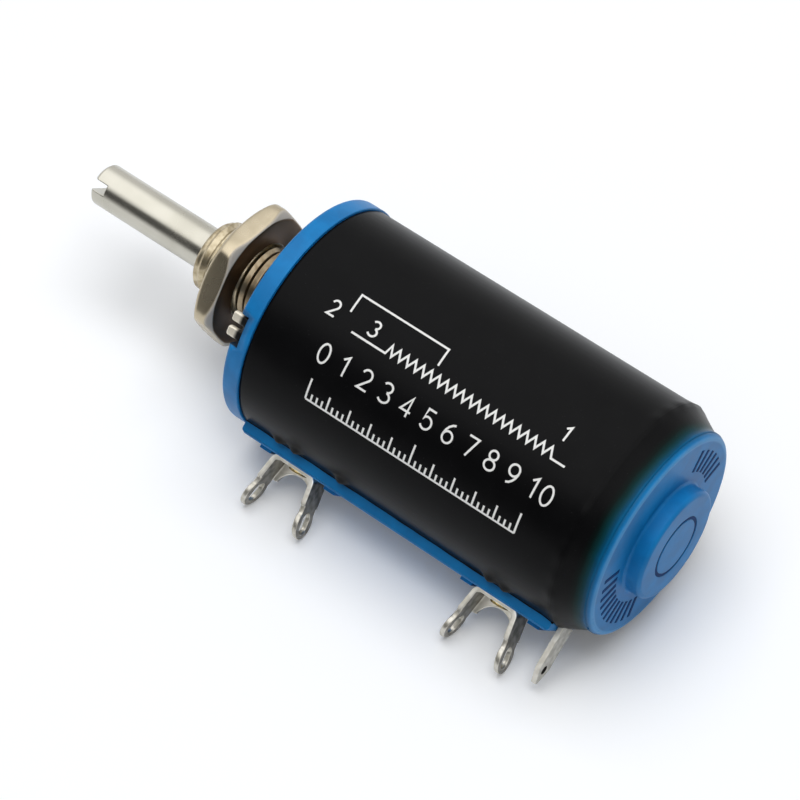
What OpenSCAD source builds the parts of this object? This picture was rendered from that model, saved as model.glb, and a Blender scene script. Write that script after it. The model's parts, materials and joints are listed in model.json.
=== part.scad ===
// Multiturn wirewound potentiometer: threaded bushing and shaft in front, a moulded case in a
// printed shrink sleeve, solder terminals on a rail along one side, and a wiper that a turning
// drum carries along a helical winding. Millimetres.
//
// Every piece is drawn standing: the shaft axis is +Z, the mounting face is z = 0 and the
// terminals point along +X. The module laid() then lays the whole part down as it rests on a
// table, with the shaft along +X and the part lying on its body and on its terminal tips.

/* [Body] */
// Outside diameter of the front flange and of the sleeved body
body_d = 22; // [20:0.1:26]
// Thickness of the front flange
flange_t = 1.8; // [1.4:0.1:3]
// Thickness of the shrink film around the case
film_t = 0.2; // [0.1:0.05:0.3]
// Wall of the moulded case around the winding
wall_t = 1.6; // [1.3:0.1:2.2]
// Distance from the mounting face to the middle of the front terminal
front_lug = 7.3; // [7.1:0.1:10]
// Distance from the middle of the rear terminal to the rear face
rear_l = 9.2; // [9:0.1:12]
// Length of the rear cap behind its joint with the case
cap_l = 3.35; // [3.2:0.05:4]
// Diameter of the rear cap at its face
rear_d = 19.5; // [18.8:0.1:20]
// Length of the taper from the body down to the rear cap's rim
shoulder_l = 2.3; // [2:0.1:3.2]
// Width of the straight rim behind the taper
rim_l = 1.1; // [0.8:0.1:1.5]
// Thickness of the rear cap's end wall
cap_floor_t = 1.6; // [1.3:0.1:1.8]
// Diameter of the raised boss on the rear face
boss_d = 10.4; // [9:0.1:12]
// Height of the raised boss on the rear face
boss_h = 1.6; // [1.3:0.1:2]

/* [Shaft and bushing] */
// Diameter of the shaft
shaft_d = 4; // [3:0.1:4.4]
// Length of the shaft in front of the mounting face
shaft_l = 23; // [16:0.1:32]
// Width of the screwdriver slot in the shaft's tip
slot_w = 1; // [0.6:0.1:1.4]
// Depth of the screwdriver slot in the shaft's tip
slot_h = 1.5; // [0.8:0.1:2.5]
// Turn of the screwdriver slot about the shaft at mid travel
slot_turn = 80; // [0:5:175]
// Outside diameter of the bushing's thread
thread_d = 7; // [6.6:0.1:9]
// Length of the bushing in front of the mounting face
bushing_l = 9.9; // [8:0.1:14]
// Chamfer at the bushing's front end
bushing_chamfer = 0.4; // [0.3:0.1:0.8]
// Diameter of the bushing's head inside the front cover
head_d = 12; // [11:0.1:13]
// Thickness of the bushing's head
head_t = 1.4; // [1:0.1:1.6]

/* [Mounting nut] */
// Width of the nut across its flats
nut_af = 12.5; // [11.5:0.1:14]
// Thickness of the nut
nut_t = 2.1; // [1.6:0.1:3]
// Distance from the mounting face to the nut
nut_gap = 4.9; // [4.5:0.1:5.5]
// Turn of the nut's first corner from the terminal side
nut_turn = 44; // [0:1:59]

/* [Locating tab] */
// Turn of the locating tab about the shaft from the terminal side
tab_turn = 73; // [50:1:130]
// Width of the notch that the tab stands in
notch_w = 3; // [2.6:0.1:4]
// Depth of the notch into the flange's rim
notch_d = 1.5; // [1.4:0.1:1.8]
// Depth of the notch behind the mounting face
notch_h = 0.9; // [0.6:0.1:1]
// Sheet thickness of the tab
tab_t = 0.6; // [0.4:0.05:0.7]
// Width of the tab
tab_w = 2.3; // [1.8:0.1:2.4]
// Height of the tab in front of the mounting face
tab_h = 0.9; // [0.5:0.1:1.5]
// Width of the gap between the tab's two prongs
prong_gap = 0.5; // [0.3:0.1:0.8]

/* [Terminals] */
// Width of the terminal rail
rail_w = 6; // [5:0.1:8]
// Height of the terminal rail above the sleeve
rail_h = 0.5; // [0.4:0.1:1.2]
// Space between the front flange and the rail
rail_gap = 0.1; // [0.1:0.1:1]
// Length of the raised blocks beside each terminal
block_l = 1.2; // [0.8:0.1:1.4]
// Height of the raised blocks beside each terminal
block_h = 0.5; // [0.3:0.1:1]
// Space between the front block and the terminal's leg
block_gap = 0.3; // [0.25:0.05:0.4]
// Space between the rear block and the terminal's leg
rear_block_gap = 1.1; // [0.3:0.1:1.3]
// Sheet thickness of the terminals
strip_t = 0.5; // [0.4:0.05:0.6]
// Width of the terminals' strip
strip_w = 2.9; // [2.6:0.1:3.4]
// Distance across a terminal's two legs at the rail
fork_w = 4.5; // [4.2:0.1:5]
// Reach of the legs above the rail
leg_l = 5.7; // [5.2:0.1:7]
// Inside radius of the bends between a terminal's base and its legs
bend_r = 0.3; // [0.2:0.05:0.4]
// Outward lean of each leg
leg_splay = 9.5; // [4:0.5:12]
// Height of the wide shoulder at the root of each leg
leg_root = 2.7; // [1.8:0.1:2.9]
// Height of the web between a terminal's legs, at its middle
web_h = 1.2; // [0.8:0.1:1.4]
// Outside diameter of the soldering eye
eye_d = 2.9; // [2.4:0.1:3.2]
// Width of the oblong hole in the soldering eye
eye_hole_w = 1.3; // [0.8:0.1:1.6]
// Length of the oblong hole in the soldering eye
eye_hole_l = 1.9; // [1.7:0.1:2]
// Diameter of the rivets that tap the winding's ends
rivet_d = 0.9; // [0.7:0.05:1.1]
// Width of the wiper's blade terminal
blade_w = 2.4; // [2:0.1:3]
// Reach of the blade terminal from the shaft's axis
blade_reach = 16.2; // [15:0.1:20]
// Length of the blade's pointed tip
blade_tip = 1.4; // [1:0.1:2]
// Diameter of the hole near the blade's tip
blade_hole_d = 0.8; // [0.5:0.1:1]

/* [Winding and wiper] */
// Number of turns of the winding and of the shaft's travel
turns = 10; // [8:1:14]
// Pitch of the winding
winding_pitch = 2.2; // [2:0.05:2.6]
// Diameter of the wound core
wire_d = 1.5; // [1.3:0.05:1.5]
// Diameter of the drum
drum_d = 11.2; // [10.6:0.1:11.6]
// Width of the drum's guide slot
guide_w = 3; // [2.4:0.1:3.4]
// Depth of the drum's guide slot
guide_h = 1.5; // [1.2:0.1:1.8]
// Diameter of the collector rod
rod_d = 1; // [0.8:0.1:1.2]
// Turn of the collector rod about the shaft from the guide slot
rod_turn = 32; // [31:0.5:36]
// Diameter of the slip ring
ring_d = 10; // [9.8:0.1:10.4]

/* [Hidden] */
$fn = 64;

// Clearances: a running fit, a seat between fixed pieces, and end play between faces
run_gap = 0.03;
seat_gap = 0.02;
end_gap = 0.05;
// Clearance of the guide teeth beside the winding's turns and of the carriage under them
tooth_gap = 0.17;
carriage_gap = 0.35;
// A cut reaches this far past the face that it opens
past = 0.1;

// Radii from the axis outwards
shaft_r = shaft_d / 2;
body_r = body_d / 2;
case_r = body_r - film_t;
bore_r = case_r - wall_t;
wire_r = wire_d / 2;
winding_r = bore_r - seat_gap - wire_r;
winding_in = winding_r - wire_r;
drum_r = drum_d / 2;
ring_r = ring_d / 2;
rear_r = rear_d / 2;
thread_r = thread_d / 2;
head_r = head_d / 2;
rail_r = body_r + rail_h;
eye_r = eye_d / 2;
eye_reach = rail_r + leg_l - eye_r;
// The sleeved body and the soldering eyes touch the table together at this turn
rest_turn = acos((body_r - eye_r) / eye_reach);

// Heights along the axis, from the mounting face back to the rear face
lug_z = [-front_lug, -front_lug - turns * winding_pitch];
mid_z = (lug_z[0] + lug_z[1]) / 2;
body_l = front_lug + turns * winding_pitch + rear_l;
rear_z = -body_l;
joint_z = rear_z + cap_l;
floor_z = rear_z + cap_floor_t;
taper_z = rear_z + rim_l + shoulder_l;
head_z = -flange_t - head_t;

// The shaft's stack of small parts behind the bushing's head
washer_t = 0.4;
washer_z = head_z - end_gap - washer_t;
clip_t = 0.5;
clip_z = washer_z - end_gap - clip_t;
groove_h = 0.35;
drum_front_z = clip_z - end_gap;
// The drum ends just in front of the blade terminal, and the slip ring reaches past the brush
brush_t = 0.2;
brush_z = joint_z - strip_t - brush_t;
ring_lead = 0.9;
drum_rear_z = joint_z + ring_lead;
ring_rear_z = brush_z - ring_lead / 2;
hub_t = 1;
hub_r = shaft_r + hub_t;
// The shaft's rear journal runs in a blind pocket inside the boss
pocket_wall = 1.1;
journal_play = 0.2;
pocket_z = rear_z - boss_h + pocket_wall;
shaft_rear_z = pocket_z + journal_play;

// Lays the standing part down on its side
module laid() {
    rotate([0, 90, 0]) rotate([0, 0, rest_turn]) children();
}

// A ring about the axis from height z0 up to z1
module tube(r_out, r_in, z0, z1) {
    translate([0, 0, z0]) difference() {
        cylinder(r = r_out, h = z1 - z0);
        translate([0, 0, -past]) cylinder(r = r_in, h = z1 - z0 + 2 * past);
    }
}

// Half the outline of a disc between two heights, with its lower and upper rims rounded
module round_disc(r, z0, z1, low_round, high_round) {
    translate([0, z0 + low_round]) square([r, z1 - z0 - low_round - high_round]);
    translate([0, z0]) square([r - low_round, low_round]);
    translate([0, z1 - high_round]) square([r - high_round, high_round]);
    translate([r - low_round, z0 + low_round]) circle(r = low_round);
    translate([r - high_round, z1 - high_round]) circle(r = high_round);
}

// A plain bar along +X from x0 to x1, with a round section
module pin_x(r, x0, x1, z) {
    translate([x0, 0, z]) rotate([0, 90, 0]) cylinder(r = r, h = x1 - x0);
}

// A box between two heights and two radii on the terminal side
module side_box(x0, x1, w, z0, z1) {
    translate([x0, -w / 2, z0]) cube([x1 - x0, w, z1 - z0]);
}

// A piece of a ring between two angles from the terminal side
module sector(r_in, r_out, a0, a1, h) {
    reach = 2 * r_out;
    linear_extrude(h) intersection() {
        difference() {
            circle(r = r_out);
            circle(r = r_in);
        }
        polygon([[0, 0], reach * [cos(a0), sin(a0)], reach * [cos(a1), sin(a1)]]);
    }
}

// Front cover

cover_spigot_t = 1.4;
flange_round = 0.35;
flange_back_round = 0.12;
// The tab's foot goes into the cover below the notch and leaves this floor under it
foot_floor = 0.3;
tab_foot = flange_t - notch_h - foot_floor;
// The tab stands half its thickness clear of the notch's inner wall
tab_r = body_r - notch_d + tab_t;

module front_cover() color("#1668b5") laid() {
    spigot_r = bore_r - seat_gap;
    hole_r = thread_r + seat_gap;
    seat_r = head_r + seat_gap;
    difference() {
        union() {
            rotate_extrude() difference() {
                round_disc(body_r, -flange_t, 0, flange_back_round, flange_round);
                translate([-past, -flange_t - past]) square([hole_r + past, flange_t + 2 * past]);
            }
            tube(spigot_r, seat_r, -flange_t - cover_spigot_t, -flange_t + past);
        }
        rotate([0, 0, tab_turn]) {
            side_box(body_r - notch_d, body_r + past, notch_w, -notch_h, past);
            side_box(tab_r - tab_t / 2 - seat_gap, tab_r + tab_t / 2 + seat_gap, tab_w + 2 * seat_gap,
                -notch_h - tab_foot - seat_gap, 0);
        }
    }
}

// Threaded bushing, with the head that the cover holds

bushing_mouth = 0.25;

module threaded_bushing() color("#c3a765") laid() {
    bore = shaft_r + run_gap;
    rotate_extrude() polygon([
        [bore, head_z], [head_r, head_z], [head_r, -flange_t], [thread_r, -flange_t],
        [thread_r, bushing_l - bushing_chamfer], [thread_r - bushing_chamfer, bushing_l],
        [bore + bushing_mouth, bushing_l], [bore, bushing_l - bushing_mouth]
    ]);
}

// Locating tab: sheet metal pressed into the cover, split at its top into two prongs

module locating_tab() color("#d8d2c2") laid() {
    rotate([0, 0, tab_turn]) difference() {
        side_box(tab_r - tab_t / 2, tab_r + tab_t / 2, tab_w, -notch_h - tab_foot, tab_h);
        side_box(tab_r - tab_t, tab_r + tab_t, prong_gap, -notch_h / 2, tab_h + past);
    }
}

// Moulded case with the terminal rail

// Radius of the case's taper at a height, between the body and the cap's rim
function taper_r(z) = case_r + (rear_r - case_r) * min(1, max(0, (taper_z - z) / shoulder_l));

// The case's side from one height down to another, with the taper's corner if it lies between them
function case_side(high, low) = concat(
    [[taper_r(high), high]],
    taper_z < high && taper_z > low ? [[case_r, taper_z]] : [],
    [[taper_r(low), low]]
);

rail_front_z = -flange_t - rail_gap;
rail_rear_gap = 0.05;
rail_rear_z = joint_z + rail_rear_gap;
rail_round = 0.6;
rail_edge = 0.2;
rivet_r = rivet_d / 2;

// The rail's side outline, with its front and rear outer corners rounded
module rail_outline() {
    length = rail_front_z - rail_rear_z;
    inner = bore_r + wall_t / 2;
    round_r = min(rail_round, rail_h);
    translate([inner, rail_rear_z]) square([rail_r - round_r - inner, length]);
    translate([inner, rail_rear_z + round_r]) square([rail_r - inner, length - 2 * round_r]);
    for (z = [rail_rear_z + round_r, rail_front_z - round_r])
        translate([rail_r - round_r, z]) circle(r = round_r);
}

// The rail, with its two long edges broken by a chamfer
module rail() {
    half = rail_w / 2;
    low_r = rail_r - rail_edge;
    intersection() {
        translate([0, half, 0]) rotate([90, 0, 0]) linear_extrude(rail_w) rail_outline();
        translate([0, 0, rail_rear_z]) linear_extrude(rail_front_z - rail_rear_z) polygon([
            [0, -half], [low_r, -half], [rail_r, rail_edge - half], [rail_r, half - rail_edge],
            [low_r, half], [0, half]
        ]);
    }
}

module housing() color("#1a5fae") laid() {
    difference() {
        union() {
            rotate_extrude() polygon(concat(
                [[bore_r, -flange_t]], case_side(-flange_t, joint_z), [[bore_r, joint_z]]
            ));
            rail();
            for (z = lug_z) {
                ahead_z = z + fork_w / 2 + block_gap;
                behind_z = z - fork_w / 2 - rear_block_gap;
                side_box(rail_r - rail_h, rail_r + block_h, strip_w, ahead_z, ahead_z + block_l);
                side_box(rail_r - rail_h, rail_r + block_h, strip_w, behind_z - block_l, behind_z);
            }
        }
        for (z = lug_z)
            pin_x(rivet_r + seat_gap, bore_r - wall_t, rail_r + past, z);
    }
}

// Shrink film around the case, open from its front edge along the rail and slit for the blade

film_end_t = 0.08;
film_lap = 0.1;
film_rear_z = rear_z + rim_l - film_lap;
window_gap = 0.1;

module sleeve() color("#1c1c1e") laid() {
    in_gap = seat_gap;
    front_z = -flange_t - end_gap;
    difference() {
        rotate_extrude() polygon([
            [case_r + in_gap, front_z], [body_r, front_z], [body_r, taper_z],
            [rear_r + in_gap + film_end_t, film_rear_z], [rear_r + in_gap, film_rear_z],
            [rear_r + in_gap, rear_z + rim_l], [case_r + in_gap, taper_z]
        ]);
        side_box(0, rail_r + past, rail_w + 2 * window_gap, rail_rear_z - window_gap, 0);
        side_box(0, rail_r + past, blade_w + 2 * window_gap, joint_z - strip_t - window_gap,
            joint_z + window_gap);
    }
}

// Rear cap with its spigot, end wall and bearing boss

spigot_l = 0.6;
spigot_t = 0.8;
cap_wall_t = 1.3;
face_round = 0.5;
boss_round = 0.4;
boss_fillet = 0.3;
// The cavity stays inside the spigot and leaves the cap's own wall
cavity_r = min(bore_r - spigot_t, rear_r - cap_wall_t);

// Half the outline of the cap's shell: a rounded rim, the taper up to the joint and the cavity
module cap_outline() {
    rim_z = rear_z + face_round;
    polygon(concat(
        [[cavity_r, floor_z], [cavity_r, joint_z]], case_side(joint_z, rear_z + rim_l),
        [[rear_r, rim_z], [0, rim_z], [0, floor_z]]
    ));
    translate([0, rear_z]) square([rear_r - face_round, face_round]);
    translate([rear_r - face_round, rim_z]) circle(r = face_round);
}

// Half the outline of the boss, with a fillet where it leaves the rear face
module boss_outline() {
    boss_r = boss_d / 2;
    round_disc(boss_r, rear_z - boss_h, rear_z + boss_round, boss_round, boss_round / 2);
    translate([boss_r - past, rear_z - boss_fillet]) difference() {
        square([boss_fillet + past, boss_fillet + past]);
        translate([boss_fillet + past, 0]) circle(r = boss_fillet);
    }
}

module rear_cap() color("#1f6cbc") laid() {
    difference() {
        union() {
            rotate_extrude() cap_outline();
            rotate_extrude() boss_outline();
            tube(bore_r - seat_gap, bore_r - spigot_t, joint_z - strip_t, joint_z + spigot_l);
        }
        translate([0, 0, pocket_z]) cylinder(r = shaft_r + run_gap, h = floor_z - pocket_z + past);
        side_box(cavity_r - spigot_t, body_r, blade_w + 2 * seat_gap, joint_z - strip_t - seat_gap,
            joint_z + seat_gap);
    }
}

// Helical winding, swept along its turns as a round section

lead_turns = 0.15;
steps_per_turn = 28;
wire_sides = 8;

module resistance_winding() color("#8a5a34") laid() {
    steps = round((turns + 2 * lead_turns) * steps_per_turn);
    first_turn = -turns / 2 - lead_turns;
    span = turns + 2 * lead_turns;
    points = [
        for (i = [0 : steps], k = [0 : wire_sides - 1])
            let (
                turn = first_turn + span * i / steps,
                a = 360 * turn,
                b = 360 * k / wire_sides,
                r = winding_r + wire_r * cos(b)
            )
            [r * cos(a), r * sin(a), mid_z + turn * winding_pitch + wire_r * sin(b)]
    ];
    last = steps * wire_sides;
    sides = [
        for (i = [0 : steps - 1], k = [0 : wire_sides - 1])
            let (next = (k + 1) % wire_sides, here = i * wire_sides, ahead = here + wire_sides)
            [here + k, ahead + k, ahead + next, here + next]
    ];
    start_cap = [for (k = [0 : wire_sides - 1]) k];
    end_cap = [for (k = [wire_sides - 1 : -1 : 0]) last + k];
    polyhedron(points, concat(sides, [start_cap], [end_cap]), convexity = 20);
}

// Solder terminals: a strip on the rail, two leaning legs with eyes, and an arched web behind

module eye_hole() {
    half = (eye_hole_l - eye_hole_w) / 2;
    for (s = [-1, 1])
        translate([s * half, 0]) circle(d = eye_hole_w);
    square([2 * half, eye_hole_w], center = true);
}

// The neck below each eye is narrower than the eye by this much
neck_step = 0.5;

// A leg seen from the front: its shoulder, neck and eye
module leg_outline() {
    neck_w = eye_d - neck_step;
    eye_x = leg_l - eye_r;
    difference() {
        union() {
            translate([0, -strip_w / 2]) square([leg_root, strip_w]);
            translate([0, -neck_w / 2]) square([eye_x, neck_w]);
            translate([eye_x, 0]) circle(r = eye_r);
        }
        translate([eye_x, 0]) eye_hole();
    }
}

// The bends turn about two centres, placed so that the legs' lines meet the rail fork_w apart
bend_out = bend_r + strip_t;
bend_z = fork_w / 2 - bend_out * (cos(leg_splay) - (1 - sin(leg_splay)) * tan(leg_splay));

// Area inside a terminal's folded strip seen from the side, inset from its outer surface
module fork_area(inset, top) {
    r = bend_out - inset;
    turn_x = bend_out - r * sin(leg_splay);
    turn_z = bend_z + r * cos(leg_splay);
    top_z = turn_z + (top - turn_x) * tan(leg_splay);
    polygon([
        [inset, -bend_z], [inset, bend_z], [turn_x, turn_z], [top, top_z], [top, -top_z],
        [turn_x, -turn_z]
    ]);
    for (side = [-1, 1])
        translate([bend_out, side * bend_z]) circle(r = r);
}

module web_outline() {
    arch_r = fork_w / 2 - strip_t;
    difference() {
        fork_area(0, leg_root);
        translate([web_h + arch_r, 0]) circle(r = arch_r);
    }
}

module fork_terminal(z) {
    translate([rail_r, 0, z]) difference() {
        union() {
            intersection() {
                translate([0, strip_w / 2, 0]) rotate([90, 0, 0]) linear_extrude(strip_w) difference() {
                    fork_area(0, leg_l);
                    fork_area(strip_t, leg_l + past);
                }
                translate([0, 0, -fork_w]) linear_extrude(2 * fork_w) leg_outline();
            }
            translate([0, strip_t - strip_w / 2, 0]) rotate([90, 0, 0])
                linear_extrude(strip_t) web_outline();
        }
        pin_x(rivet_r + seat_gap, -past, strip_t + past, 0);
    }
}

module front_terminal() color("#c9c6bd") laid() fork_terminal(lug_z[0]);

module rear_terminal() color("#c9c6bd") laid() fork_terminal(lug_z[1]);

// Rivets that hold the terminals and tap the ends of the winding

rivet_head_t = 0.3;

module tap_rivet(z) {
    pin_x(rivet_r, bore_r, rail_r + strip_t + rivet_head_t, z);
    pin_x(2 * rivet_r, rail_r + strip_t, rail_r + strip_t + rivet_head_t, z);
}

module front_rivet() color("#b9a06a") laid() tap_rivet(lug_z[0]);

module rear_rivet() color("#b9a06a") laid() tap_rivet(lug_z[1]);

// Blade terminal of the wiper, held between the case and the rear cap

blade_gap = 1.6;
blade_in = ring_r + blade_gap;

module wiper_terminal() color("#cdc9bd") laid() {
    translate([0, 0, joint_z - strip_t]) linear_extrude(strip_t) difference() {
        polygon([
            [blade_in, -blade_w / 2], [blade_reach - blade_tip, -blade_w / 2],
            [blade_reach, -blade_w / 12], [blade_reach, blade_w / 12],
            [blade_reach - blade_tip, blade_w / 2], [blade_in, blade_w / 2]
        ]);
        translate([blade_reach - blade_tip, 0]) circle(d = blade_hole_d);
    }
}

// Sprung hoop on the blade, which goes round the slip ring and touches it with its two ends

hoop_gap = 0.3;
hoop_w = 0.45;
hoop_angle = 100;
pad_angle = 12;
// The hoop's tail laps the blade by this much
tail_lap = 0.5;

module collector_brush() color("#c99a55") laid() {
    hoop_in = ring_r + hoop_gap;
    hoop_out = hoop_in + hoop_w;
    translate([0, 0, brush_z]) {
        for (s = [0, 1]) mirror([0, s, 0]) {
            sector(hoop_in, hoop_out, 0, hoop_angle, brush_t);
            sector(ring_r + end_gap, hoop_out, hoop_angle - pad_angle, hoop_angle, brush_t);
        }
        side_box(hoop_in, blade_in + tail_lap, 2 * blade_w / 3, 0, brush_t);
    }
}

// Shaft, from the screwdriver slot at its tip to the journal in the rear boss

tip_chamfer = 0.3;
// A shallow grease groove at the bushing's mouth
relief_l = 0.7;
relief_h = 0.25;

module shaft() color("#c4c6c8") laid() {
    difference() {
        rotate_extrude() polygon([
            [0, shaft_rear_z], [shaft_r, shaft_rear_z],
            [shaft_r, clip_z - seat_gap], [shaft_r - groove_h, clip_z - seat_gap],
            [shaft_r - groove_h, clip_z + clip_t + seat_gap], [shaft_r, clip_z + clip_t + seat_gap],
            [shaft_r, bushing_l - relief_l], [shaft_r - relief_h, bushing_l - relief_l],
            [shaft_r - relief_h, bushing_l + end_gap], [shaft_r, bushing_l + end_gap],
            [shaft_r, shaft_l - tip_chamfer], [shaft_r - tip_chamfer, shaft_l], [0, shaft_l]
        ]);
        rotate([0, 0, slot_turn]) translate([-shaft_d, -slot_w / 2, shaft_l - slot_h])
            cube([2 * shaft_d, slot_w, slot_h + past]);
    }
}

// Drum that turns with the shaft, with the carriage's guide slot and the rod's groove

tooth_t = winding_pitch - wire_d - 2 * tooth_gap;
carriage_end = 0.4;
carriage_half = winding_pitch / 2 + tooth_t / 2 + carriage_end;
guide_spare = 0.3;
guide_end = carriage_half + guide_spare;
rod_r = rod_d / 2;
rod_axis = drum_r - rod_r;

module rotor_drum() color("#e3dfd2") laid() {
    difference() {
        union() {
            tube(drum_r, shaft_r + seat_gap, drum_rear_z, drum_front_z);
            tube(hub_r, shaft_r + seat_gap, ring_rear_z, drum_rear_z + past);
        }
        side_box(drum_r - guide_h, drum_r + past, guide_w, lug_z[1] - guide_end, lug_z[0] + guide_end);
        rotate([0, 0, rod_turn]) translate([rod_axis, 0, drum_rear_z - past]) {
            length = lug_z[0] + guide_end - drum_rear_z + past;
            cylinder(r = rod_r + seat_gap, h = length);
            translate([0, -rod_r - seat_gap, 0]) cube([rod_d, 2 * (rod_r + seat_gap), length]);
        }
    }
}

module collector_rod() color("#c9a44f") laid() {
    rotate([0, 0, rod_turn]) translate([rod_axis, 0, drum_rear_z])
        cylinder(r = rod_r, h = lug_z[0] + guide_end - drum_rear_z);
}

module slip_ring() color("#cfa850") laid() {
    tube(ring_r, hub_r + seat_gap, ring_rear_z, drum_rear_z - seat_gap);
}

clip_w = 1.2;

module retaining_ring() color("#77797c") laid() {
    clip_r = shaft_r + clip_w;
    mouth = 2 * (shaft_r - groove_h);
    difference() {
        tube(clip_r, shaft_r - groove_h + seat_gap, clip_z, clip_z + clip_t);
        side_box(0, clip_r + past, mouth, clip_z - past, clip_z + clip_t + past);
    }
}

washer_w = 1.5;

module thrust_washer() color("#a9894a") laid() {
    tube(shaft_r + washer_w, shaft_r + run_gap, washer_z, washer_z + washer_t);
}

// Carriage: a saddle on the drum, a key in its slot and two guide teeth between the turns

saddle_angle = 24;
saddle_r = winding_in - carriage_gap;
tooth_angle = 7;

module wiper_carriage() color("#d9d4c4") laid() {
    translate([0, 0, mid_z - carriage_half])
        sector(drum_r + end_gap, saddle_r, -saddle_angle, saddle_angle, 2 * carriage_half);
    side_box(drum_r - guide_h + end_gap, drum_r + 2 * end_gap, guide_w - 2 * end_gap,
        mid_z - carriage_half, mid_z + carriage_half);
    for (s = [-1, 1])
        translate([0, 0, mid_z + s * winding_pitch / 2 - tooth_t / 2])
            sector(saddle_r - end_gap, winding_r, -tooth_angle, tooth_angle, tooth_t);
}

// Wiper contact: a strip over the saddle, with a nose under the winding and a toe on the rod

contact_w = 0.8;
leaf_t = 0.14;
nose_t = 0.6;
limb_angle = 2;

module wiper_contact() color("#cfae5c") laid() {
    toe_r = drum_r + end_gap;
    // the strip bears on the saddle and passes its side to reach the rod
    translate([0, 0, mid_z - contact_w / 2]) {
        sector(saddle_r + seat_gap, saddle_r + leaf_t, -saddle_angle / 2, saddle_angle + limb_angle,
            contact_w);
        sector(toe_r, saddle_r + leaf_t, saddle_angle + limb_angle / 4, saddle_angle + limb_angle,
            contact_w);
        sector(toe_r, toe_r + leaf_t, saddle_angle + limb_angle / 4, rod_turn + limb_angle, contact_w);
        translate([saddle_r + leaf_t / 2, 0, contact_w / 2 - nose_t / 2])
            side_box(0, winding_in - end_gap - saddle_r - leaf_t / 2, nose_t, 0, nose_t);
    }
}

// Hexagon nut on the bushing, chamfered at both faces

// The chamfers run in to a circle this far inside the flats
flat_lap = 0.1;
// The six corners are turned down by this much
corner_trim = 0.25;
nut_mouth = 0.35;

module mounting_nut() color("#b8ac96") laid() {
    corner_r = nut_af / 2 / cos(30);
    face_r = nut_af / 2 - flat_lap;
    trim_r = corner_r - corner_trim;
    drop = (trim_r - face_r) * tan(30);
    bore = thread_r + end_gap;
    translate([0, 0, nut_gap]) difference() {
        intersection() {
            rotate([0, 0, nut_turn]) cylinder(r = corner_r, h = nut_t, $fn = 6);
            rotate_extrude() polygon([
                [0, 0], [face_r, 0], [trim_r, drop], [trim_r, nut_t - drop], [face_r, nut_t], [0, nut_t]
            ]);
        }
        rotate_extrude() polygon([
            [0, -past], [bore + nut_mouth + past, -past], [bore, nut_mouth], [bore, nut_t - nut_mouth],
            [bore + nut_mouth + past, nut_t + past], [0, nut_t + past]
        ]);
    }
}

front_cover();
threaded_bushing();
locating_tab();
housing();
sleeve();
rear_cap();
resistance_winding();
front_terminal();
rear_terminal();
front_rivet();
rear_rivet();
wiper_terminal();
collector_brush();
shaft();
rotor_drum();
collector_rod();
slip_ring();
retaining_ring();
thrust_washer();
wiper_carriage();
wiper_contact();
mounting_nut();
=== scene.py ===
"""Dresses a ten-turn potentiometer that lies on a white table: blue mouldings, printed black film,
plated metal and tinned terminals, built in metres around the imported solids."""

import json
import math

import bmesh
import bpy
from mathutils import Matrix, Vector


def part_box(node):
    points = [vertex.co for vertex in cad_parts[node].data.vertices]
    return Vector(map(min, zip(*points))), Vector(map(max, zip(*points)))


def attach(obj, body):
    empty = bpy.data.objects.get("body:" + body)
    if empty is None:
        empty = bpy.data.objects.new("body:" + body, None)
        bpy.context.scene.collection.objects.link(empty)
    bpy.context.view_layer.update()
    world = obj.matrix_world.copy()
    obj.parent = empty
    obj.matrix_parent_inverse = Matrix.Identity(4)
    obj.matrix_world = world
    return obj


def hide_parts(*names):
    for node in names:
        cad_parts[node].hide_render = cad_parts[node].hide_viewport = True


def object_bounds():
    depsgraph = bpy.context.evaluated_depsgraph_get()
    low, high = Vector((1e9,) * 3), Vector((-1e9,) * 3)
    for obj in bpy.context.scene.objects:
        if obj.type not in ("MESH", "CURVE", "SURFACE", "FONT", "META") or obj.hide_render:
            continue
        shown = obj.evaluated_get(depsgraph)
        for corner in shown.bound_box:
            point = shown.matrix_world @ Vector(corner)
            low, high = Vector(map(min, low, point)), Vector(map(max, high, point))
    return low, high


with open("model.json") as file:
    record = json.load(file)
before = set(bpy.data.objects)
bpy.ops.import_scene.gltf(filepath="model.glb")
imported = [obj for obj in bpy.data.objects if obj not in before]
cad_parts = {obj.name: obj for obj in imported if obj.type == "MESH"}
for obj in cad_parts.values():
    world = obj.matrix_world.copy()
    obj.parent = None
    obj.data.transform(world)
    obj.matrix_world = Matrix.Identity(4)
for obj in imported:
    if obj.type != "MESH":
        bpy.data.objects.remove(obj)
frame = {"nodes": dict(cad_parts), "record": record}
cad_low, cad_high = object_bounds()

# Front cover: the blue disc that closes the case and bears on the panel. It is moulded in one shot
# with soft rims and a notch for the locating tab, and its spigot is pressed into the case.
cover_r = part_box("front_cover")[1].z
notch_h = 0.0009
notch_half = 0.0015
notch_floor = (0.008, 0.0085)
notch_mouth = (cover_r - 0.0003, cover_r - 0.0001)
notch_soft = 0.0001
notch_dark = "#03060a"
tab_low, tab_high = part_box("locating_tab")
notch_out = Vector((0, tab_low.y + tab_high.y, tab_low.z + tab_high.z)).normalized()
notch_side = Vector((1, 0, 0)).cross(notch_out)
blue_deep = "#0d6fae"
blue_light = "#107bbd"
blue_grain = 0.0022
blue_skin = 0.00016
blue_skin_h = 0.000003
sharp_angle = math.radians(28)
smooth_angle = math.radians(50)
flat_angle = math.radians(0.5)


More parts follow.
